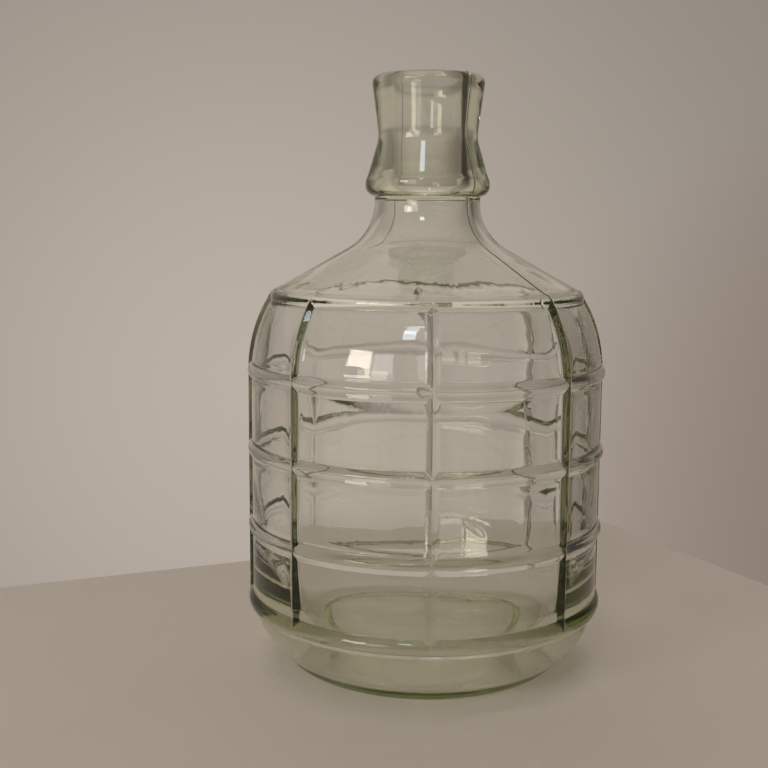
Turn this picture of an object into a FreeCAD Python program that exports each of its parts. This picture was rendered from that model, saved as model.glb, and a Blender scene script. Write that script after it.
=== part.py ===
"""One-gallon (4.5 litre) glass demijohn, blown in a two-part mould.

One wall of glass with eight ribs, rings, a rounded band above the heel, a collar and a lip.

Frame: millimetres, +Z up along the bottle's axis, origin at the centre of the circle it rests on.
The eight ribs stand at multiples of 45 degrees, one of them facing -Y.
"""
import FreeCAD, Part
import math
import os
from FreeCAD import Vector

# Overall
HEIGHT = 308.2
PANEL_RADIUS = 92.0             # smooth panels between the ribs
WALL = 3.2                      # glass thickness behind the panels

# Ribs and rings that stand proud of the panels, with straight flanks and rounded crests
RING_HEIGHT = 2.2
RING_WIDTH = 8.6
RING_SLOPE = 36.0               # a ring's flanks against the panel, in degrees
RING_COUNT = 3
LOW_RING_Z = 74.6
RING_PITCH = 41.2
TOP_RING_ANGLE = 30.4           # its lower edge, in degrees up the body's upper arc
RIB_HEIGHT = 2.1
RIB_SLOPE = 36.0
RIB_CREST_RADIUS = 0.9
RIB_ROOT = 1.6                  # how deep a rib is sunk in the wall
RIB_OVERLAP = 4.1               # how far a rib runs into the band and the top ring
RIB_COUNT = 8

# Foot, heel and the rounded band above the heel
FOOT_RADIUS = 66.0              # outer edge of the flat bearing ring
FOOT_WIDTH = 8.0
PUNT_RADIUS = 54.0              # edge of the hollow under the base
PUNT_EDGE_Z = 3.3
PUNT_Z = 5.8                    # its middle
PLATE_SEAM_RADIUS = 76.0        # where the mould's base plate meets its sides
PLATE_SEAM_Z = 7.0
CREASE_RADIUS = 90.5            # between the heel and the band
CREASE_Z = 29.6
BAND_HEIGHT = 2.3
BAND_Z = 35.3
BAND_TOP_Z = 39.4
FOOT_SWELL = 1.5                # how far each arc stands out from its chord
HEEL_SWELL = 2.7
BAND_LOWER_SWELL = 1.1
BAND_UPPER_SWELL = 0.4

# Upper body, shoulder and neck
BODY_TOP_Z = 155.2              # where the straight wall ends
BODY_ARC_RADIUS = 74.4
SHOULDER_SLOPE = 29.4           # degrees below horizontal
NECK_RADIUS = 27.5
NECK_SWEEP = 27.1               # radius of the hollow curve from shoulder to neck
NECK_SWEEP_Z = 243.6

# Collar, waist and lip
COLLAR_CREASE_Z = 246.6
COLLAR_RADIUS = 32.3
COLLAR_Z = 253.0
COLLAR_TOP_RADIUS = 31.4
COLLAR_TOP_Z = 256.4
COLLAR_LOWER_SWELL = 1.7
COLLAR_UPPER_SWELL = 0.3
WAIST_RADIUS = 25.4             # where the tapers above and below it would meet
WAIST_Z = 276.6
WAIST_SWEEP = 20.0
LIP_RADIUS = 29.0
LIP_Z = 304.0
LIP_TOP_RADIUS = 24.6
LIP_SWELL = 1.3

# Inside
BORE_RADIUS = 18.0
BORE_END_Z = 258.5
BORE_FLARE = 13.5               # height over which the bore opens to the neck's inside
MOUTH_ROUNDING = 3.4
NECK_WALL = 4.5                 # also the shoulder's
SHOULDER_ROUNDING = 16.0
FLOOR_Z = 11.6
FLOOR_EDGE_RADIUS = 66.7
FLOOR_EDGE_Z = 9.9
HEEL_TOP_Z = 65.6               # where the thick heel has thinned to the wall
HEEL_FLOOR_PULL = 9.3           # how far the heel's curve keeps to the floor, and to the wall
HEEL_WALL_PULL = 16.7
OVERSHOOT = 1.0                 # how far the cavity tool stands above the mouth

AXIS = Vector(0, 0, 1)
BODY_ARC_CENTRE = Vector(PANEL_RADIUS - BODY_ARC_RADIUS, 0, BODY_TOP_Z)
NECK_SWEEP_CENTRE = Vector(NECK_RADIUS + NECK_SWEEP, 0, NECK_SWEEP_Z)
SLOPE_FACING = 90 - SHOULDER_SLOPE      # the way the shoulder faces, in degrees above radial


def spot(radius, z):
    """A point of an outline, in the XZ half-plane."""
    return Vector(radius, 0, z)


def straight(start, end):
    return Part.LineSegment(start, end).toShape()


def swell(start, end, bulge):
    """An arc from start to end that stands out from its chord by bulge, away from the axis."""
    chord = end - start
    outward = Vector(chord.z, 0, -chord.x).normalize()
    middle = (start + end) * 0.5 + outward * bulge
    return Part.Arc(start, middle, end).toShape()


def ridge(start, end, height):
    """A ring's section between two points of the wall: two straight flanks and a crest tangent to both."""
    slope = math.radians(RING_SLOPE)
    chord = end - start
    crest_radius = (chord.Length / 2 - height / math.tan(slope)) / math.tan(slope / 2)
    along = Vector(chord).normalize()
    outward = Vector(chord.z, 0, -chord.x).normalize()
    middle = (start + end) * 0.5
    flank_top = middle + outward * (height - crest_radius * (1 - math.cos(slope)))
    half_crest = along * (crest_radius * math.sin(slope))
    crest = Part.Arc(flank_top - half_crest, middle + outward * height, flank_top + half_crest)
    return [straight(start, flank_top - half_crest), crest.toShape(), straight(flank_top + half_crest, end)]


def polar(centre, radius, angle):
    """A point about centre, its angle in degrees up from the radial direction."""
    turn = math.radians(angle)
    return centre + Vector(radius * math.cos(turn), 0, radius * math.sin(turn))


def around(centre, radius, first, last):
    """An arc about centre from the first angle to the last."""
    middle = polar(centre, radius, (first + last) / 2)
    return Part.Arc(polar(centre, radius, first), middle, polar(centre, radius, last)).toShape()


def dome(middle_z, edge_radius, edge_z):
    """A shallow arc from the axis out to an edge."""
    halfway_z = middle_z - (middle_z - edge_z) / 4
    halfway = spot(edge_radius / 2, halfway_z)
    return Part.Arc(spot(0, middle_z), halfway, spot(edge_radius, edge_z)).toShape()


def rounded_corner(before, corner, after, radius):
    """Two straight edges that meet at a corner, joined by a tangent arc."""
    back = (before - corner).normalize()
    ahead = (after - corner).normalize()
    half_angle = back.getAngle(ahead) / 2
    setback = radius / math.tan(half_angle)
    centre = corner + (back + ahead).normalize() * (radius / math.sin(half_angle))
    start = corner + back * setback
    end = corner + ahead * setback
    middle = centre + (corner - centre).normalize() * radius
    bend = Part.Arc(start, middle, end).toShape()
    return [straight(before, start), bend, straight(end, after)]


def slope_gap(sweep_radius):
    """Distance from the body arc's centre to the shoulder's slope, square to the slope."""
    normal = polar(Vector(0, 0, 0), 1, SLOPE_FACING)
    return normal.dot(NECK_SWEEP_CENTRE - BODY_ARC_CENTRE) - sweep_radius


def corner_angle(arc_radius, gap):
    """How far up an arc about the body arc's centre a line facing like the slope is met."""
    return SLOPE_FACING - math.degrees(math.acos(gap / arc_radius))


def slope_and_sweep(corner, sweep_radius):
    """The shoulder's slope up from a corner, and the hollow sweep that turns it into the neck."""
    sweep_start = polar(NECK_SWEEP_CENTRE, sweep_radius, 180 + SLOPE_FACING)
    return [
        straight(corner, sweep_start),
        around(NECK_SWEEP_CENTRE, sweep_radius, 180 + SLOPE_FACING, 180),
    ]


def base_edges():
    """The hollow under the base, the bearing ring, the heel and the band."""
    punt_edge = spot(PUNT_RADIUS, PUNT_EDGE_Z)
    foot_inner = spot(FOOT_RADIUS - FOOT_WIDTH, 0)
    foot_outer = spot(FOOT_RADIUS, 0)
    plate_seam = spot(PLATE_SEAM_RADIUS, PLATE_SEAM_Z)
    crease = spot(CREASE_RADIUS, CREASE_Z)
    band_crest = spot(PANEL_RADIUS + BAND_HEIGHT, BAND_Z)
    return [
        dome(PUNT_Z, PUNT_RADIUS, PUNT_EDGE_Z),
        straight(punt_edge, foot_inner),
        straight(foot_inner, foot_outer),
        swell(foot_outer, plate_seam, FOOT_SWELL),
        swell(plate_seam, crease, HEEL_SWELL),
        swell(crease, band_crest, BAND_LOWER_SWELL),
        swell(band_crest, spot(PANEL_RADIUS, BAND_TOP_Z), BAND_UPPER_SWELL),
    ]


def on_wall(z):
    """The panels' outline at a height: the straight wall, or the body's arc above it."""
    rise = max(z - BODY_TOP_Z, 0)
    return spot(BODY_ARC_CENTRE.x + math.sqrt(BODY_ARC_RADIUS ** 2 - rise ** 2), z)


def wall_edges():
    """The wall with its three rings, up to the last one's upper edge."""
    edges = []
    below = spot(PANEL_RADIUS, BAND_TOP_Z)
    for index in range(RING_COUNT):
        ring_z = LOW_RING_Z + index * RING_PITCH
        lower = on_wall(ring_z - RING_WIDTH / 2)
        upper = on_wall(ring_z + RING_WIDTH / 2)
        edges.append(straight(below, lower))
        edges.extend(ridge(lower, upper, RING_HEIGHT))
        below = upper
    return edges


def shoulder_edges():
    """The upper body, the top ring on its corner, the shoulder and the neck."""
    last_ring_top_z = LOW_RING_Z + (RING_COUNT - 1) * RING_PITCH + RING_WIDTH / 2
    arc_start = math.degrees(math.asin((last_ring_top_z - BODY_TOP_Z) / BODY_ARC_RADIUS))
    ring_start = polar(BODY_ARC_CENTRE, BODY_ARC_RADIUS, TOP_RING_ANGLE)
    angle = corner_angle(BODY_ARC_RADIUS, slope_gap(NECK_SWEEP))
    corner = polar(BODY_ARC_CENTRE, BODY_ARC_RADIUS, angle)
    return [
        around(BODY_ARC_CENTRE, BODY_ARC_RADIUS, arc_start, TOP_RING_ANGLE),
        *ridge(ring_start, corner, RING_HEIGHT),
        *slope_and_sweep(corner, NECK_SWEEP),
        straight(spot(NECK_RADIUS, NECK_SWEEP_Z), spot(NECK_RADIUS, COLLAR_CREASE_Z)),
    ]


def finish_edges():
    """The collar, the waist above it and the rounded lip."""
    collar = spot(COLLAR_RADIUS, COLLAR_Z)
    collar_top = spot(COLLAR_TOP_RADIUS, COLLAR_TOP_Z)
    lip = spot(LIP_RADIUS, LIP_Z)
    waist = spot(WAIST_RADIUS, WAIST_Z)
    return [
        swell(spot(NECK_RADIUS, COLLAR_CREASE_Z), collar, COLLAR_LOWER_SWELL),
        swell(collar, collar_top, COLLAR_UPPER_SWELL),
        *rounded_corner(collar_top, waist, lip, WAIST_SWEEP),
        swell(lip, spot(LIP_TOP_RADIUS, HEIGHT), LIP_SWELL),
    ]


def inside_shoulder_edges():
    """The cavity's upper arc, its rounded shoulder and the sweep up to the neck."""
    arc_radius = BODY_ARC_RADIUS - WALL
    sweep_radius = NECK_SWEEP + NECK_WALL
    rounding_offset = arc_radius - SHOULDER_ROUNDING
    angle = corner_angle(rounding_offset, slope_gap(sweep_radius) - SHOULDER_ROUNDING)
    rounding_centre = polar(BODY_ARC_CENTRE, rounding_offset, angle)
    slope_start = polar(rounding_centre, SHOULDER_ROUNDING, SLOPE_FACING)
    return [
        around(BODY_ARC_CENTRE, arc_radius, 0, angle),
        around(rounding_centre, SHOULDER_ROUNDING, angle, SLOPE_FACING),
        *slope_and_sweep(slope_start, sweep_radius),
    ]


def inside_heel():
    """The smooth curve from the floor up to the wall, which leaves the heel thick."""
    inside_radius = PANEL_RADIUS - WALL
    curve = Part.BezierCurve()
    curve.setPoles([
        spot(FLOOR_EDGE_RADIUS, FLOOR_EDGE_Z),
        spot(FLOOR_EDGE_RADIUS + HEEL_FLOOR_PULL, FLOOR_EDGE_Z),
        spot(inside_radius, HEEL_TOP_Z - HEEL_WALL_PULL),
        spot(inside_radius, HEEL_TOP_Z),
    ])
    return curve.toShape()


def inside_edges():
    """The cavity's outline: floor, heel, wall, shoulder, neck, bore and the rounded mouth."""
    inside_radius = PANEL_RADIUS - WALL
    neck_inside = NECK_RADIUS - NECK_WALL
    flare_start = spot(neck_inside, BORE_END_Z - BORE_FLARE)
    flare_end = spot(BORE_RADIUS, BORE_END_Z)
    mouth_centre = spot(BORE_RADIUS + MOUTH_ROUNDING, HEIGHT - MOUTH_ROUNDING)
    mouth_edge = spot(BORE_RADIUS + MOUTH_ROUNDING, HEIGHT)
    tool_top = spot(BORE_RADIUS + MOUTH_ROUNDING, HEIGHT + OVERSHOOT)
    return [
        dome(FLOOR_Z, FLOOR_EDGE_RADIUS, FLOOR_EDGE_Z),
        inside_heel(),
        straight(spot(inside_radius, HEEL_TOP_Z), spot(inside_radius, BODY_TOP_Z)),
        *inside_shoulder_edges(),
        straight(spot(neck_inside, NECK_SWEEP_Z), flare_start),
        straight(flare_start, flare_end),
        straight(flare_end, spot(BORE_RADIUS, HEIGHT - MOUTH_ROUNDING)),
        around(mouth_centre, MOUTH_ROUNDING, 180, 90),
        straight(mouth_edge, tool_top),
    ]


def turned(edges, low_z, high_radius, high_z):
    """The solid made by turning an outline about the axis, closed across its top."""
    top = spot(0, high_z)
    closing = [straight(spot(high_radius, high_z), top), straight(top, spot(0, low_z))]
    face = Part.Face(Part.Wire(edges + closing))
    return face.revolve(Vector(0, 0, 0), AXIS, 360)


def rib_section():
    """The rib at +X, cut level: a rounded crest and two flanks that run on into the wall."""
    slope = math.radians(RIB_SLOPE)
    crest = Vector(PANEL_RADIUS + RIB_HEIGHT, 0, BODY_TOP_Z)
    flank_top = crest.x - RIB_CREST_RADIUS * (1 - math.cos(slope))
    half_crest = RIB_CREST_RADIUS * math.sin(slope)
    root = PANEL_RADIUS - RIB_ROOT
    half_root = half_crest + (flank_top - root) / math.tan(slope)
    right = Vector(flank_top, -half_crest, BODY_TOP_Z)
    left = Vector(flank_top, half_crest, BODY_TOP_Z)
    right_root = Vector(root, -half_root, BODY_TOP_Z)
    left_root = Vector(root, half_root, BODY_TOP_Z)
    return Part.Face(Part.Wire([
        straight(right_root, right),
        Part.Arc(right, crest, left).toShape(),
        straight(left, left_root),
        straight(left_root, right_root),
    ]))


def rib():
    """The rib at +X, from inside the band up the wall and over its arc into the top ring."""
    section = rib_section()
    upright = section.extrude(AXIS * (BAND_TOP_Z - RIB_OVERLAP - BODY_TOP_Z))
    top_angle = TOP_RING_ANGLE + math.degrees(RIB_OVERLAP / BODY_ARC_RADIUS)
    curved = section.revolve(BODY_ARC_CENTRE, Vector(0, -1, 0), top_angle)
    return upright.fuse(curved)


def ribs():
    """The eight ribs, the first facing -Y."""
    first = rib()
    copies = []
    for index in range(RIB_COUNT):
        copy = first.copy()
        copy.rotate(Vector(0, 0, 0), AXIS, -90 + index * 360 / RIB_COUNT)
        copies.append(copy)
    return copies


def glass_bottle():
    outline = base_edges() + wall_edges() + shoulder_edges() + finish_edges()
    blank = turned(outline, PUNT_Z, LIP_TOP_RADIUS, HEIGHT)
    cavity = turned(inside_edges(), FLOOR_Z, BORE_RADIUS + MOUTH_ROUNDING, HEIGHT + OVERSHOOT)
    return blank.fuse(ribs()).cut(cavity), cavity


def main():
    os.makedirs("parts", exist_ok=True)
    bottle, cavity = glass_bottle()
    bottle.exportStep("parts/glass_bottle.step")
    box = bottle.optimalBoundingBox(False)
    print("solids", len(bottle.Solids), "valid", bottle.isValid())
    print("size", round(box.XLength, 2), round(box.YLength, 2), round(box.ZLength, 2))
    print("glass", round(bottle.Volume / 1e3, 1), "ml; brimful", round(cavity.Volume / 1e3, 1), "ml")


main()
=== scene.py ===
"""A ribbed glass demijohn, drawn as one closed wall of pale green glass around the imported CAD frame."""
import math
import bpy
import numpy as np
from mathutils import Matrix, Vector

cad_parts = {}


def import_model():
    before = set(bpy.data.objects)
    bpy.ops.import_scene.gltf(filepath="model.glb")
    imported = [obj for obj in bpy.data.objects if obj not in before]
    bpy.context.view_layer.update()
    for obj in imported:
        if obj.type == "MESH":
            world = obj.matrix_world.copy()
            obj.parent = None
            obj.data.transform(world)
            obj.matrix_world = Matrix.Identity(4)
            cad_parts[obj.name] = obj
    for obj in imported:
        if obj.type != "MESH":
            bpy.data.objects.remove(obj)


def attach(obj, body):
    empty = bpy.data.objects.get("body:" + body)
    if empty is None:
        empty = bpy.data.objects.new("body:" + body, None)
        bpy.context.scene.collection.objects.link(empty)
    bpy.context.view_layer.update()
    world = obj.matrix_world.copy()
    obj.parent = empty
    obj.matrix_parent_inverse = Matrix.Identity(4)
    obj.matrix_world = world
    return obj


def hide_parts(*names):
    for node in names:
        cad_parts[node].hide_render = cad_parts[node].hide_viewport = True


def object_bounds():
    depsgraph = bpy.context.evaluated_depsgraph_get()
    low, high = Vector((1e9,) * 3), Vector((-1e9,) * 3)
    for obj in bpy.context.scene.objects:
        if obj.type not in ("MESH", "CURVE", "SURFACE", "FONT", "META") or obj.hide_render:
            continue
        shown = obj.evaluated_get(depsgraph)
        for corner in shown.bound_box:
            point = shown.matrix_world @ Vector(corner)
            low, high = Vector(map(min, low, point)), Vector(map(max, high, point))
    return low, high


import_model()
cad_low, cad_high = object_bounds()

MM = 0.001
HEIGHT = cad_high.z / MM                # everything below is in millimetres until the mesh is made

# Body, as in the CAD
PANEL_RADIUS = 92.0
WALL = 3.2
RING_HEIGHT = 2.2
RING_WIDTH = 8.6
RING_SLOPE = 36.0                       # a ring's flanks against the panel, in degrees
RING_COUNT = 3
LOW_RING_Z = 74.6
RING_PITCH = 41.2
TOP_RING_ANGLE = 30.4
RIB_HEIGHT = 2.1
RIB_SLOPE = 36.0
RIB_CREST = 0.3                         # how far from its middle a rib is rounded over
RIB_COUNT = 8
FRONT_RIB = -90.0                       # degrees from +X
FOOT_RADIUS = 66.0
FOOT_WIDTH = 8.0
PUNT_RADIUS = 54.0
PUNT_EDGE_Z = 3.3
PUNT_Z = 5.8
PLATE_SEAM_RADIUS = 76.0
PLATE_SEAM_Z = 7.0
CREASE_RADIUS = 90.5
CREASE_Z = 29.6
BAND_HEIGHT = 2.3
BAND_Z = 35.3
BAND_TOP_Z = 39.4
FOOT_SWELL = 1.5
HEEL_SWELL = 2.7
BAND_LOWER_SWELL = 1.1
BAND_UPPER_SWELL = 0.4
BODY_TOP_Z = 155.2
BODY_ARC_RADIUS = 74.4
SHOULDER_SLOPE = 29.4
NECK_RADIUS = 27.5
NECK_SWEEP = 27.1
NECK_SWEEP_Z = 243.6

# Collar, waist, lip and inside, as in the CAD
COLLAR_CREASE_Z = 246.6
COLLAR_RADIUS = 32.3
COLLAR_Z = 253.0
COLLAR_TOP_RADIUS = 31.4
COLLAR_TOP_Z = 256.4
COLLAR_LOWER_SWELL = 1.7
COLLAR_UPPER_SWELL = 0.3
WAIST_RADIUS = 25.4
WAIST_Z = 276.6
WAIST_SWEEP = 20.0
LIP_RADIUS = 29.0
LIP_Z = 304.0
LIP_TOP_RADIUS = 24.6
LIP_SWELL = 1.3
BORE_RADIUS = 18.0
BORE_END_Z = 258.5
BORE_FLARE = 13.5
MOUTH_ROUNDING = 3.4
NECK_WALL = 4.5
SHOULDER_ROUNDING = 16.0
FLOOR_Z = 11.6
FLOOR_EDGE_RADIUS = 66.7
FLOOR_EDGE_Z = 9.9
HEEL_TOP_Z = 65.6
HEEL_FLOOR_PULL = 9.3
HEEL_WALL_PULL = 16.7

# Traces of the blowing and of the mould that the CAD leaves out
HOLLOW_DEPTH = 1.1                      # how far the inside surface gives way behind ribs and rings
HOLLOW_REACH = 3.2
HOLLOW_TOP_Z = 195.0
HOLLOW_FADE = 20.0                      # height over which the hollows end, and over which they begin
HOLLOW_LOWER_FADE = 25.0
WAVE_SEED = 7
WAVE_COUNT = 26
MOST_WAVE_LOBES = 9
WAVE_LENGTHS = (28, 110)
WAVE_SIZES = (0.02, 0.09)
WAVE_NECK_FADE = 30.0
WAVE_AXIS_FADE = 40.0
SEAM_HEIGHT = 0.3
SEAM_WIDTH = 0.45
SEAM_ANGLES = (-45.0, 135.0)
EDGE_SOFTNESS = 0.45                    # how far every edge of the outline is melted round
RIB_FILLET = 0.35

# Mesh fineness
PATH_STEP = 0.1
LONGEST_ROW = 5.0
TURN_PER_ROW = 9.5                      # degrees
ROW_BLUR = 15                           # path steps over which the rows' spacing is evened out
RIB_OFFSETS = (0.0, 0.15, 0.35, 0.7, 1.4, 2.1, 2.6, 2.85, 3.1, 3.5, 4.4)
SEAM_OFFSETS = (0.25, 0.5)
COLUMNS_BETWEEN_RIBS = 9
NORMAL_STEP = 0.05

# Camera and floor, in metres
CAMERA_PLACE = Vector((-0.0253, -0.6304, 0.23625))
CAMERA_HEADING = 0.0052
CAMERA_PITCH = 0.1392
CAMERA_ROLL = 0.006
CAMERA_LENS = 56.07
CAMERA_SENSOR = 36.0
FLOOR_CORNER = Vector((0.1534, 0.2826, 0))      # the corner behind the bottle
FLOOR_BACK_EDGE = 22.5                          # degrees, how each edge leaves the corner
FLOOR_SIDE_EDGE = 25.0
FLOOR_SIDE = 1.6
FLOOR_THICKNESS = 0.03

# Glass and paint
GLASS_IOR = 1.52
GLASS_TINT = (0.48, 0.53, 0.19, 1)
GLASS_DENSITY = 21.0
RIPPLE_SCALE = 34.0
RIPPLE_UPRIGHT_SCALE = 0.55                     # ripples are longer upwards than round the bottle
RIPPLE_DEPTH = 0.0004
PAINT_DARK = (0.74, 0.69, 0.635, 1)
PAINT_PALE = (0.81, 0.76, 0.70, 1)
PAINT_MOTTLE_SCALE = 9.0
PAINT_GRAIN_SCALE = 420.0
PAINT_GRAIN_DEPTH = 0.0006
PAINT_ROUGHNESS = 0.6

# Room. A direction is a compass angle, 0 at +Y and 90 at +X, and an elevation, both in degrees.
ROOM_TONE = (1.0, 0.875, 0.76, 1)
SHADE_TONE = (1.0, 0.80, 0.68, 1)
ROOM_LEVEL = 0.05                               # brightness from every direction
WALL_LEVEL = 0.20                               # added by the wall behind the bottle
WALL_CONE = (-12, 0, 48, 72)                    # direction, then where the fade starts and ends
WALL_GLOW = (-6, -8, 22)                        # direction and width
WALL_GLOW_LEVEL = 0.24
UPPER_WALL_START = 0.175                        # sines of the elevations
UPPER_WALL_END = 0.27
UPPER_WALL_LEVEL = 0.22
SHADE_CONE = (28, -13, 2, 22)
SHADE_DEPTH = 0.16
ROOM_GLOWS = (                                  # cone and brightness: front right, left, overhead
    (135, 0, 20, 45, 0.26),
    (-95, 5, 12, 40, 0.18),
    (0, 90, 25, 65, 0.39),
)
LIGHT_BOUNCES = 64                              # light runs a long way round inside the wall of the glass

BODY_ARC_CENTRE = np.array([PANEL_RADIUS - BODY_ARC_RADIUS, BODY_TOP_Z])
NECK_SWEEP_CENTRE = np.array([NECK_RADIUS + NECK_SWEEP, NECK_SWEEP_Z])
SLOPE_FACING = 90 - SHOULDER_SLOPE


def spot(radius, z):
    return np.array([radius, z], float)


def straight(start, end):
    steps = max(int(np.linalg.norm(end - start) / PATH_STEP), 1)
    share = np.linspace(0, 1, steps, endpoint=False)[:, None]
    return start + (end - start) * share


def ridge(start, end, height):
    """A ring's section: two straight flanks and a crest tangent to both."""
    slope = math.radians(RING_SLOPE)
    chord = end - start
    length = np.linalg.norm(chord)
    crest_radius = (length / 2 - height / math.tan(slope)) / math.tan(slope / 2)
    along = chord / length
    outward = np.array([along[1], -along[0]])
    crest_rise = crest_radius * (1 - math.cos(slope))
    flank_top = (start + end) / 2 + outward * (height - crest_rise)
    half_crest = along * crest_radius * math.sin(slope)
    crest = swell(flank_top - half_crest, flank_top + half_crest, crest_rise)
    return np.vstack([straight(start, flank_top - half_crest), crest, straight(flank_top + half_crest, end)])


def bend(start, start_pull, end_pull, end):
    """A Bezier curve."""
    t = np.linspace(0, 1, int(np.linalg.norm(end - start) / PATH_STEP), endpoint=False)[:, None]
    rest = 1 - t
    return rest ** 3 * start + 3 * rest ** 2 * t * start_pull + 3 * rest * t ** 2 * end_pull + t ** 3 * end


def polar(centre, radius, angle):
    turn = math.radians(angle)
    return centre + radius * np.array([math.cos(turn), math.sin(turn)])


def around(centre, radius, first, last):
    steps = max(int(radius * math.radians(abs(last - first)) / PATH_STEP), 2)
    turn = np.radians(np.linspace(first, last, steps, endpoint=False))
    return centre + radius * np.column_stack([np.cos(turn), np.sin(turn)])


def swell(start, end, bulge):
    """An arc from start to end that stands out from its chord by bulge, on the right-hand side."""
    chord = end - start
    length = np.linalg.norm(chord)
    outward = np.array([chord[1], -chord[0]]) / length
    radius = (length ** 2 / 4 + bulge ** 2) / (2 * abs(bulge))
    half_turn = math.degrees(math.asin(min(length / 2 / radius, 1)))
    centre = (start + end) / 2 - outward * math.copysign(radius - abs(bulge), bulge)
    facing = math.degrees(math.atan2(outward[1], outward[0]))
    if bulge < 0:
        facing += 180
        return around(centre, radius, facing + half_turn, facing - half_turn)
    return around(centre, radius, facing - half_turn, facing + half_turn)


def rounded_corner(before, corner, after, radius):
    """Two straight edges joined by a tangent arc, which hollows the outline."""
    back = (before - corner) / np.linalg.norm(before - corner)
    ahead = (after - corner) / np.linalg.norm(after - corner)
    half_angle = math.acos(np.dot(back, ahead)) / 2
    setback = radius / math.tan(half_angle)
    start = corner + back * setback
    end = corner + ahead * setback
    bulge = radius - radius * math.sin(half_angle)
    return [straight(before, start), swell(start, end, -bulge), straight(end, after)]


def slope_gap(sweep_radius):
    normal = polar(np.zeros(2), 1, SLOPE_FACING)
    return normal @ (NECK_SWEEP_CENTRE - BODY_ARC_CENTRE) - sweep_radius


def corner_angle(arc_radius, gap):
    return SLOPE_FACING - math.degrees(math.acos(gap / arc_radius))


def slope_and_sweep(corner, sweep_radius):
    sweep_start = polar(NECK_SWEEP_CENTRE, sweep_radius, 180 + SLOPE_FACING)
    return [
        straight(corner, sweep_start),
        around(NECK_SWEEP_CENTRE, sweep_radius, 180 + SLOPE_FACING, 180),
    ]


def base_path():
    foot_inner = spot(FOOT_RADIUS - FOOT_WIDTH, 0)
    foot_outer = spot(FOOT_RADIUS, 0)
    plate_seam = spot(PLATE_SEAM_RADIUS, PLATE_SEAM_Z)
    crease = spot(CREASE_RADIUS, CREASE_Z)
    crest = spot(PANEL_RADIUS + BAND_HEIGHT, BAND_Z)
    punt_edge = spot(PUNT_RADIUS, PUNT_EDGE_Z)
    dome_drop = (PUNT_Z - PUNT_EDGE_Z) / 4
    return [
        swell(spot(0, PUNT_Z), punt_edge, -dome_drop),
        straight(punt_edge, foot_inner),
        straight(foot_inner, foot_outer),
        swell(foot_outer, plate_seam, FOOT_SWELL),
        swell(plate_seam, crease, HEEL_SWELL),
        swell(crease, crest, BAND_LOWER_SWELL),
        swell(crest, spot(PANEL_RADIUS, BAND_TOP_Z), BAND_UPPER_SWELL),
    ]


def on_wall(z):
    """The panels' outline at a height: the straight wall, or the body's arc above it."""
    rise = max(z - BODY_TOP_Z, 0)
    return spot(BODY_ARC_CENTRE[0] + math.sqrt(BODY_ARC_RADIUS ** 2 - rise ** 2), z)


def wall_path():
    pieces = []
    below = spot(PANEL_RADIUS, BAND_TOP_Z)
    for index in range(RING_COUNT):
        ring_z = LOW_RING_Z + index * RING_PITCH
        lower = on_wall(ring_z - RING_WIDTH / 2)
        upper = on_wall(ring_z + RING_WIDTH / 2)
        pieces.append(straight(below, lower))
        pieces.append(ridge(lower, upper, RING_HEIGHT))
        below = upper
    return pieces


def shoulder_path():
    last_ring_top_z = LOW_RING_Z + (RING_COUNT - 1) * RING_PITCH + RING_WIDTH / 2
    arc_start = math.degrees(math.asin((last_ring_top_z - BODY_TOP_Z) / BODY_ARC_RADIUS))
    ring_start = polar(BODY_ARC_CENTRE, BODY_ARC_RADIUS, TOP_RING_ANGLE)
    angle = corner_angle(BODY_ARC_RADIUS, slope_gap(NECK_SWEEP))
    corner = polar(BODY_ARC_CENTRE, BODY_ARC_RADIUS, angle)
    return [
        around(BODY_ARC_CENTRE, BODY_ARC_RADIUS, arc_start, TOP_RING_ANGLE),
        ridge(ring_start, corner, RING_HEIGHT),
        *slope_and_sweep(corner, NECK_SWEEP),
        straight(spot(NECK_RADIUS, NECK_SWEEP_Z), spot(NECK_RADIUS, COLLAR_CREASE_Z)),
    ]


def finish_path():
    collar = spot(COLLAR_RADIUS, COLLAR_Z)
    collar_top = spot(COLLAR_TOP_RADIUS, COLLAR_TOP_Z)
    lip = spot(LIP_RADIUS, LIP_Z)
    lip_top = spot(LIP_TOP_RADIUS, HEIGHT)
    return [
        swell(spot(NECK_RADIUS, COLLAR_CREASE_Z), collar, COLLAR_LOWER_SWELL),
        swell(collar, collar_top, COLLAR_UPPER_SWELL),
        *rounded_corner(collar_top, spot(WAIST_RADIUS, WAIST_Z), lip, WAIST_SWEEP),
        swell(lip, lip_top, LIP_SWELL),
        straight(lip_top, spot(BORE_RADIUS + MOUTH_ROUNDING, HEIGHT)),
    ]


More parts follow.
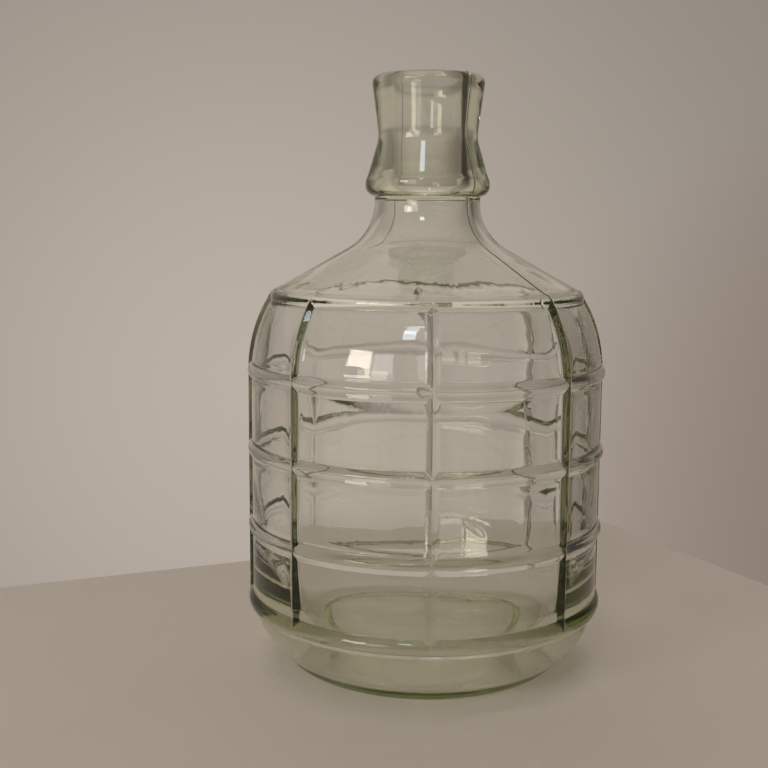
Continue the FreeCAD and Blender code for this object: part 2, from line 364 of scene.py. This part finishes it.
def inside_path():
    """The cavity's outline from the mouth down to the floor, listed upwards and then turned round."""
    inside_radius = PANEL_RADIUS - WALL
    heel_top = spot(inside_radius, HEEL_TOP_Z)
    arc_radius = BODY_ARC_RADIUS - WALL
    sweep_radius = NECK_SWEEP + NECK_WALL
    rounding_offset = arc_radius - SHOULDER_ROUNDING
    angle = corner_angle(rounding_offset, slope_gap(sweep_radius) - SHOULDER_ROUNDING)
    rounding_centre = polar(BODY_ARC_CENTRE, rounding_offset, angle)
    neck_inside = NECK_RADIUS - NECK_WALL
    flare_start = spot(neck_inside, BORE_END_Z - BORE_FLARE)
    flare_end = spot(BORE_RADIUS, BORE_END_Z)
    floor_edge = spot(FLOOR_EDGE_RADIUS, FLOOR_EDGE_Z)
    mouth_centre = spot(BORE_RADIUS + MOUTH_ROUNDING, HEIGHT - MOUTH_ROUNDING)
    upwards = np.vstack([
        swell(spot(0, FLOOR_Z), floor_edge, -(FLOOR_Z - FLOOR_EDGE_Z) / 4),
        bend(floor_edge, floor_edge + spot(HEEL_FLOOR_PULL, 0), heel_top - spot(0, HEEL_WALL_PULL), heel_top),
        straight(heel_top, spot(inside_radius, BODY_TOP_Z)),
        around(BODY_ARC_CENTRE, arc_radius, 0, angle),
        around(rounding_centre, SHOULDER_ROUNDING, angle, SLOPE_FACING),
        *slope_and_sweep(polar(rounding_centre, SHOULDER_ROUNDING, SLOPE_FACING), sweep_radius),
        straight(spot(neck_inside, NECK_SWEEP_Z), flare_start),
        straight(flare_start, flare_end),
        straight(flare_end, spot(BORE_RADIUS, HEIGHT - MOUTH_ROUNDING)),
        around(mouth_centre, MOUTH_ROUNDING, 180, 90),
    ])
    return upwards[::-1]


def distances(path):
    return np.concatenate([[0], np.cumsum(np.linalg.norm(np.diff(path, axis=0), axis=1))])


def melted(path):
    """The path on even steps, its edges rounded by a Gaussian average. It starts and ends on the axis."""
    along = distances(path)
    even = np.arange(0, along[-1], PATH_STEP)
    path = np.column_stack([np.interp(even, along, path[:, axis]) for axis in (0, 1)])
    reach = int(4 * EDGE_SOFTNESS / PATH_STEP)
    weights = np.exp(-0.5 * (np.arange(-reach, reach + 1) * PATH_STEP / EDGE_SOFTNESS) ** 2)
    weights /= weights.sum()
    mirror = np.array([-1, 1])
    padded = np.vstack([path[reach:0:-1] * mirror, path, path[-2:-reach - 2:-1] * mirror])
    soft = np.column_stack([np.convolve(padded[:, axis], weights, "valid") for axis in (0, 1)])
    soft[0, 0] = soft[-1, 0] = 0
    return soft


def rows_of(path):
    """The places along the path where the mesh has a row: close together where the path turns."""
    along = distances(path)
    tangent = np.gradient(path, axis=0)
    facing = np.unwrap(np.arctan2(tangent[:, 1], tangent[:, 0]))
    turning = np.abs(np.gradient(facing, along))
    density = 1 / LONGEST_ROW + turning / math.radians(TURN_PER_ROW)
    window = np.ones(ROW_BLUR) / ROW_BLUR
    density = np.convolve(density, window, "same")
    count = np.concatenate([[0], np.cumsum((density[1:] + density[:-1]) / 2 * np.diff(along))])
    wanted = np.linspace(0, count[-1], int(count[-1]) + 1)
    return np.interp(wanted, count, along)


def sampled(path, where):
    along = distances(path)
    return np.column_stack([np.interp(where, along, path[:, axis]) for axis in (0, 1)])


def columns():
    """Angles of the mesh's columns, in degrees from +X, close together on the ribs."""
    pitch = 360 / RIB_COUNT
    angles = set()
    edge = math.degrees(RIB_OFFSETS[-1] / PANEL_RADIUS)
    for index in range(RIB_COUNT):
        rib = FRONT_RIB + index * pitch
        offsets = [*RIB_OFFSETS]
        if any(abs((rib - seam + 180) % 360 - 180) < 1 for seam in SEAM_ANGLES):
            offsets += SEAM_OFFSETS
        for offset in offsets:
            turn = math.degrees(offset / PANEL_RADIUS)
            angles.update((round(rib + turn, 6), round(rib - turn, 6)))
        for share in np.linspace(0, 1, COLUMNS_BETWEEN_RIBS + 1)[1:-1]:
            angles.add(round(rib + edge + (pitch - 2 * edge) * float(share), 6))
    return np.array(sorted(angles))


def smooth_max(a, b, softness):
    return np.maximum(a, b) + np.maximum(softness - np.abs(a - b), 0) ** 2 / (4 * softness)


def angle_from(angles, centre):
    return (angles - centre + 180) % 360 - 180


def rib_distance(angles):
    pitch = 360 / RIB_COUNT
    nearest = (angles - FRONT_RIB + pitch / 2) % pitch - pitch / 2
    return np.radians(np.abs(nearest)) * PANEL_RADIUS


def rib_height(angles):
    """How far the ribs' rounded surface stands out from the panels at each angle, negative between them."""
    distance = rib_distance(angles)
    return RIB_HEIGHT - math.tan(math.radians(RIB_SLOPE)) * (np.hypot(distance, RIB_CREST) - RIB_CREST)


def with_ribs(rows, outside, angles):
    """Radii and heights of the turned outline, with the ribs raised from its outside."""
    from_arc = rows - BODY_ARC_CENTRE
    arc_distance = np.linalg.norm(from_arc, axis=1)
    on_arc = rows[:, 1] > BODY_TOP_Z
    height = np.where(on_arc, arc_distance - BODY_ARC_RADIUS, rows[:, 0] - PANEL_RADIUS)
    direction = np.where(on_arc[:, None], from_arc / arc_distance[:, None], [[1.0, 0.0]])
    crest_angle = (TOP_RING_ANGLE + corner_angle(BODY_ARC_RADIUS, slope_gap(NECK_SWEEP))) / 2
    arc_angle = np.degrees(np.arctan2(from_arc[:, 1], from_arc[:, 0]))
    has_rib = outside & (rows[:, 1] > BAND_Z) & (arc_angle < crest_angle)
    raised = smooth_max(height[:, None], rib_height(angles)[None, :], RIB_FILLET) - height[:, None]
    raised = np.where(has_rib[:, None], raised, 0)
    return rows[:, :1] + direction[:, :1] * raised, rows[:, 1:] + direction[:, 1:] * raised


def seam_relief(radii, heights, angles):
    """The fine ridges that the mould's two halves leave, from the band up to the lip."""
    relief = np.zeros_like(radii)
    for seam in SEAM_ANGLES:
        distance = np.radians(np.abs(angle_from(angles, seam)))[None, :] * radii
        relief += SEAM_HEIGHT * np.exp(-(distance / SEAM_WIDTH) ** 2)
    return np.where(heights > BAND_Z, relief, 0)


def inner_waves(rows, angles):
    """How far the inside surface wanders as the glass was blown: long soft waves, in millimetres."""
    draw = np.random.default_rng(WAVE_SEED)
    turn = np.radians(angles)[None, :]
    waves = np.zeros((len(rows), len(angles)))
    for _ in range(WAVE_COUNT):
        lobes = draw.integers(0, MOST_WAVE_LOBES)
        wavelength = draw.uniform(*WAVE_LENGTHS)
        phase, lean = draw.uniform(0, 2 * math.pi, 2)
        size = draw.uniform(*WAVE_SIZES)
        waves += size * np.cos(lobes * turn + phase) * np.cos(2 * math.pi * rows[:, 1:] / wavelength + lean)
    below_neck = np.clip((NECK_SWEEP_Z - rows[:, 1:]) / WAVE_NECK_FADE, 0, 1)
    off_axis = np.clip(rows[:, :1] / WAVE_AXIS_FADE, 0, 1)
    return waves * below_neck * off_axis


def inner_hollows(rows, angles):
    """How far the inside surface sinks behind the ribs and rings of the thin wall, in millimetres."""
    z = rows[:, 1:]
    flat = np.exp(-(rib_distance(angles)[None, :] / HOLLOW_REACH) ** 2)
    flat = 1 - flat * np.clip((HOLLOW_TOP_Z - z) / HOLLOW_FADE, 0, 1)
    for index in range(RING_COUNT):
        flat = flat * (1 - np.exp(-((z - LOW_RING_Z - index * RING_PITCH) / HOLLOW_REACH) ** 2))
    return HOLLOW_DEPTH * (1 - flat) * np.clip((z - BAND_TOP_Z) / HOLLOW_LOWER_FADE, 0, 1)


def surface(path, where, angles):
    """Points of the glass in metres: a row for each place along the path, a column for each angle."""
    rows = sampled(path, where)
    ahead = sampled(path, where + PATH_STEP) - sampled(path, where - PATH_STEP)
    facing = np.column_stack([ahead[:, 1], -ahead[:, 0]]) / np.linalg.norm(ahead, axis=1)[:, None]
    outside = where < distances(path)[np.argmax(path[:, 1])]
    radii, heights = with_ribs(rows, outside, angles)
    inner_relief = inner_waves(rows, angles) - inner_hollows(rows, angles)
    relief = np.where(outside[:, None], seam_relief(radii, heights, angles), inner_relief)
    radii = radii + facing[:, :1] * relief
    heights = heights + facing[:, 1:] * relief
    turn = np.radians(angles)
    return np.stack([radii * np.cos(turn), radii * np.sin(turn), heights], axis=-1) * MM


def surface_normals(path, where, angles):
    ahead = surface(path, where + NORMAL_STEP, angles) - surface(path, where - NORMAL_STEP, angles)
    turn_step = math.degrees(NORMAL_STEP / PANEL_RADIUS)
    beside = surface(path, where, angles + turn_step) - surface(path, where, angles - turn_step)
    normals = np.cross(beside, ahead)
    return normals / np.linalg.norm(normals, axis=-1)[..., None]


def glass_mesh():
    """The glass's skin, closed at the axis, with the exact surface's normals so it bends light smoothly."""
    outside_pieces = base_path() + wall_path() + shoulder_path() + finish_path()
    path = melted(np.vstack([*outside_pieces, inside_path()]))
    where = rows_of(path)[1:-1]
    angles = columns()
    row_count, column_count = len(where), len(angles)
    points = surface(path, where, angles).reshape(-1, 3)
    normals = surface_normals(path, where, angles).reshape(-1, 3)
    bottom, floor = len(points), len(points) + 1
    points = np.vstack([points, [[0, 0, path[0, 1] * MM], [0, 0, path[-1, 1] * MM]]])
    normals = np.vstack([normals, [[0, 0, -1], [0, 0, 1]]])
    first = np.arange(row_count - 1)[:, None] * column_count
    here = np.arange(column_count)[None, :]
    beside = (here + 1) % column_count
    above = first + column_count
    quads = np.stack([first + here, first + beside, above + beside, above + here], -1)
    faces = quads.reshape(-1, 4).tolist()
    last = (row_count - 1) * column_count
    for column in range(column_count):
        following = (column + 1) % column_count
        faces.append([bottom, following, column])
        faces.append([floor, last + column, last + following])
    mesh = bpy.data.meshes.new("demijohn_glass")
    mesh.from_pydata(points.tolist(), [], faces)
    mesh.polygons.foreach_set("use_smooth", [True] * len(mesh.polygons))
    mesh.normals_split_custom_set_from_vertices(normals.tolist())
    mesh.update()
    return mesh


def glass_material():
    material = bpy.data.materials.new("pale_green_glass")
    material.use_nodes = True
    nodes, links = material.node_tree.nodes, material.node_tree.links
    shader = nodes["Principled BSDF"]
    shader.inputs["Base Color"].default_value = (1, 1, 1, 1)
    shader.inputs["Roughness"].default_value = 0.0
    shader.inputs["IOR"].default_value = GLASS_IOR
    shader.inputs["Transmission Weight"].default_value = 1.0
    place = nodes.new("ShaderNodeTexCoord")
    stretched = nodes.new("ShaderNodeMapping")
    stretched.inputs["Scale"].default_value = (1.0, 1.0, RIPPLE_UPRIGHT_SCALE)
    links.new(place.outputs["Object"], stretched.inputs["Vector"])
    ripples = nodes.new("ShaderNodeTexNoise")
    ripples.inputs["Scale"].default_value = RIPPLE_SCALE
    ripples.inputs["Detail"].default_value = 3.0
    ripples.inputs["Distortion"].default_value = 0.6
    links.new(stretched.outputs["Vector"], ripples.inputs["Vector"])
    relief = nodes.new("ShaderNodeBump")
    relief.inputs["Strength"].default_value = 0.6
    relief.inputs["Distance"].default_value = RIPPLE_DEPTH
    links.new(ripples.outputs["Fac"], relief.inputs["Height"])
    links.new(relief.outputs["Normal"], shader.inputs["Normal"])
    tint = nodes.new("ShaderNodeVolumeAbsorption")
    tint.inputs["Color"].default_value = GLASS_TINT
    tint.inputs["Density"].default_value = GLASS_DENSITY
    links.new(tint.outputs["Volume"], nodes["Material Output"].inputs["Volume"])
    return material


def bottle():
    piece = bpy.data.objects.new("demijohn_glass", glass_mesh())
    bpy.context.scene.collection.objects.link(piece)
    piece.data.materials.append(glass_material())
    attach(piece, "root")
    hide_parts("glass_bottle")


def floor_material():
    """Matt off-white paint with a faint mottle and the fine relief of a roller."""
    material = bpy.data.materials.new("painted_floor")
    material.use_nodes = True
    nodes, links = material.node_tree.nodes, material.node_tree.links
    shader = nodes["Principled BSDF"]
    place = nodes.new("ShaderNodeTexCoord")
    mottle = nodes.new("ShaderNodeTexNoise")
    mottle.inputs["Scale"].default_value = PAINT_MOTTLE_SCALE
    mottle.inputs["Detail"].default_value = 6.0
    links.new(place.outputs["Object"], mottle.inputs["Vector"])
    tone = nodes.new("ShaderNodeMix")
    tone.data_type = "RGBA"
    tone.inputs["A"].default_value = PAINT_DARK
    tone.inputs["B"].default_value = PAINT_PALE
    links.new(mottle.outputs["Fac"], tone.inputs["Factor"])
    links.new(tone.outputs["Result"], shader.inputs["Base Color"])
    grain = nodes.new("ShaderNodeTexNoise")
    grain.inputs["Scale"].default_value = PAINT_GRAIN_SCALE
    grain.inputs["Detail"].default_value = 4.0
    links.new(place.outputs["Object"], grain.inputs["Vector"])
    relief = nodes.new("ShaderNodeBump")
    relief.inputs["Strength"].default_value = 0.35
    relief.inputs["Distance"].default_value = PAINT_GRAIN_DEPTH
    links.new(grain.outputs["Fac"], relief.inputs["Height"])
    links.new(relief.outputs["Normal"], shader.inputs["Normal"])
    shader.inputs["Roughness"].default_value = PAINT_ROUGHNESS
    return material


def floor_slab():
    """A slab with one corner behind the bottle, where its back and side edges meet."""
    back_turn = math.radians(FLOOR_BACK_EDGE)
    side_turn = math.radians(FLOOR_SIDE_EDGE)
    along = Vector((-math.cos(back_turn), -math.sin(back_turn), 0)) * FLOOR_SIDE
    across = Vector((math.sin(side_turn), -math.cos(side_turn), 0)) * FLOOR_SIDE
    top = [FLOOR_CORNER, FLOOR_CORNER + along, FLOOR_CORNER + along + across, FLOOR_CORNER + across]
    drop = Vector((0, 0, -FLOOR_THICKNESS))
    sides = [[index, index + 4, (index + 1) % 4 + 4, (index + 1) % 4] for index in range(4)]
    mesh = bpy.data.meshes.new("floor")
    mesh.from_pydata(top + [point + drop for point in top], [], [[0, 1, 2, 3], [7, 6, 5, 4], *sides])
    slab = bpy.data.objects.new("floor", mesh)
    bpy.context.scene.collection.objects.link(slab)
    mesh.materials.append(floor_material())


def camera():
    data = bpy.data.cameras.new("camera")
    data.lens = CAMERA_LENS
    data.sensor_width = CAMERA_SENSOR
    data.clip_start = 0.01
    made = bpy.data.objects.new("camera", data)
    bpy.context.scene.collection.objects.link(made)
    flat = math.cos(CAMERA_PITCH)
    ahead = Vector((
        math.sin(CAMERA_HEADING) * flat, math.cos(CAMERA_HEADING) * flat, -math.sin(CAMERA_PITCH)))
    right = Vector((math.cos(CAMERA_HEADING), -math.sin(CAMERA_HEADING), 0))
    up = right.cross(ahead)
    tilted_right = right * math.cos(CAMERA_ROLL) + up * math.sin(CAMERA_ROLL)
    tilted_up = up * math.cos(CAMERA_ROLL) - right * math.sin(CAMERA_ROLL)
    made.matrix_world = Matrix.Translation(CAMERA_PLACE) @ Matrix(
        (tilted_right, tilted_up, -ahead)).transposed().to_4x4()
    bpy.context.scene.camera = made


def direction(compass, elevation):
    turn, rise = math.radians(compass), math.radians(elevation)
    return Vector((math.sin(turn) * math.cos(rise), math.cos(turn) * math.cos(rise), math.sin(rise)))


def world():
    """A warm grey room: brightest behind the bottle and to its left, dim to the right and in front."""
    surroundings = bpy.data.worlds.new("room")
    bpy.context.scene.world = surroundings
    surroundings.use_nodes = True
    tree = surroundings.node_tree
    nodes, links = tree.nodes, tree.links
    background = nodes["Background"]
    coordinate = nodes.new("ShaderNodeTexCoord")

    def maths(operation, *values):
        node = nodes.new("ShaderNodeMath")
        node.operation = operation
        for socket, value in zip(node.inputs, values):
            if isinstance(value, (int, float)):
                socket.default_value = value
            else:
                links.new(value, socket)
        return node.outputs[0]

    def fade(value, first, last):
        """0 up to the first value, rising smoothly to 1 at the last."""
        node = nodes.new("ShaderNodeMapRange")
        node.interpolation_type = "SMOOTHSTEP"
        links.new(value, node.inputs["Value"])
        node.inputs["From Min"].default_value = first
        node.inputs["From Max"].default_value = last
        return node.outputs["Result"]

    def nearness(compass, elevation):
        """Cosine of the angle to a direction."""
        node = nodes.new("ShaderNodeVectorMath")
        node.operation = "DOT_PRODUCT"
        links.new(coordinate.outputs["Generated"], node.inputs[0])
        node.inputs[1].default_value = direction(compass, elevation)
        return node.outputs["Value"]

    def glow(compass, elevation, width):
        """1 towards a direction, falling smoothly to 0.37 at width degrees from it."""
        sharpness = 1 / (1 - math.cos(math.radians(width)))
        grown = maths("MULTIPLY", maths("SUBTRACT", nearness(compass, elevation), 1.0), sharpness)
        return maths("EXPONENT", grown)

    def cone(compass, elevation, inside, outside):
        """1 within a cone about a direction, falling smoothly to 0 at its outer edge."""
        edges = math.cos(math.radians(outside)), math.cos(math.radians(inside))
        return fade(nearness(compass, elevation), *edges)

    height = nodes.new("ShaderNodeSeparateXYZ")
    links.new(coordinate.outputs["Generated"], height.inputs["Vector"])
    upper_wall = fade(height.outputs["Z"], UPPER_WALL_START, UPPER_WALL_END)
    wall = maths("ADD", maths("MULTIPLY", glow(*WALL_GLOW), WALL_GLOW_LEVEL), WALL_LEVEL)
    wall = maths("ADD", wall, maths("MULTIPLY", upper_wall, UPPER_WALL_LEVEL))
    total = maths("ADD", maths("MULTIPLY", cone(*WALL_CONE), wall), ROOM_LEVEL)
    for *place, level in ROOM_GLOWS:
        total = maths("ADD", total, maths("MULTIPLY", cone(*place), level))
    shade = cone(*SHADE_CONE)
    total = maths("MULTIPLY", total, maths("SUBTRACT", 1.0, maths("MULTIPLY", shade, SHADE_DEPTH)))
    tone = nodes.new("ShaderNodeMix")
    tone.data_type = "RGBA"
    tone.inputs["A"].default_value = ROOM_TONE
    tone.inputs["B"].default_value = SHADE_TONE
    links.new(shade, tone.inputs["Factor"])
    links.new(tone.outputs["Result"], background.inputs["Color"])
    links.new(total, background.inputs["Strength"])


def softbox(name, compass, elevation, distance, width, height, colour, strength):
    """A rectangular light that faces the bottle. Its strength is its brightness."""
    data = bpy.data.lights.new(name, "AREA")
    data.shape = "RECTANGLE"
    data.size = width
    data.size_y = height
    data.color = colour
    data.energy = strength * width * height * math.pi
    lamp = bpy.data.objects.new(name, data)
    bpy.context.scene.collection.objects.link(lamp)
    towards = direction(compass, elevation)
    centre = Vector((0, 0, HEIGHT * MM / 2))
    lamp.location = centre + towards * distance
    lamp.rotation_euler = towards.to_track_quat("Z", "Y").to_euler()


def lights():
    softbox("window_bright", 225, 16, 2.0, 0.52, 0.40, (1.0, 0.91, 0.80), 7.5)
    softbox("window_dim", 209, 14, 2.0, 0.44, 0.50, (1.0, 0.93, 0.95), 2.0)
    softbox("window_sill", 215, 6, 2.0, 0.70, 0.22, (1.0, 0.84, 0.62), 3.5)
    softbox("window_cool", 194, 36, 2.0, 0.26, 0.22, (0.72, 0.86, 1.0), 9.0)


bottle()
floor_slab()
camera()
world()
lights()
scene = bpy.context.scene
scene.view_settings.view_transform = "Standard"
scene.cycles.max_bounces = LIGHT_BOUNCES
scene.cycles.transmission_bounces = LIGHT_BOUNCES
scene.cycles.glossy_bounces = LIGHT_BOUNCES
scene.cycles.blur_glossy = 0.0
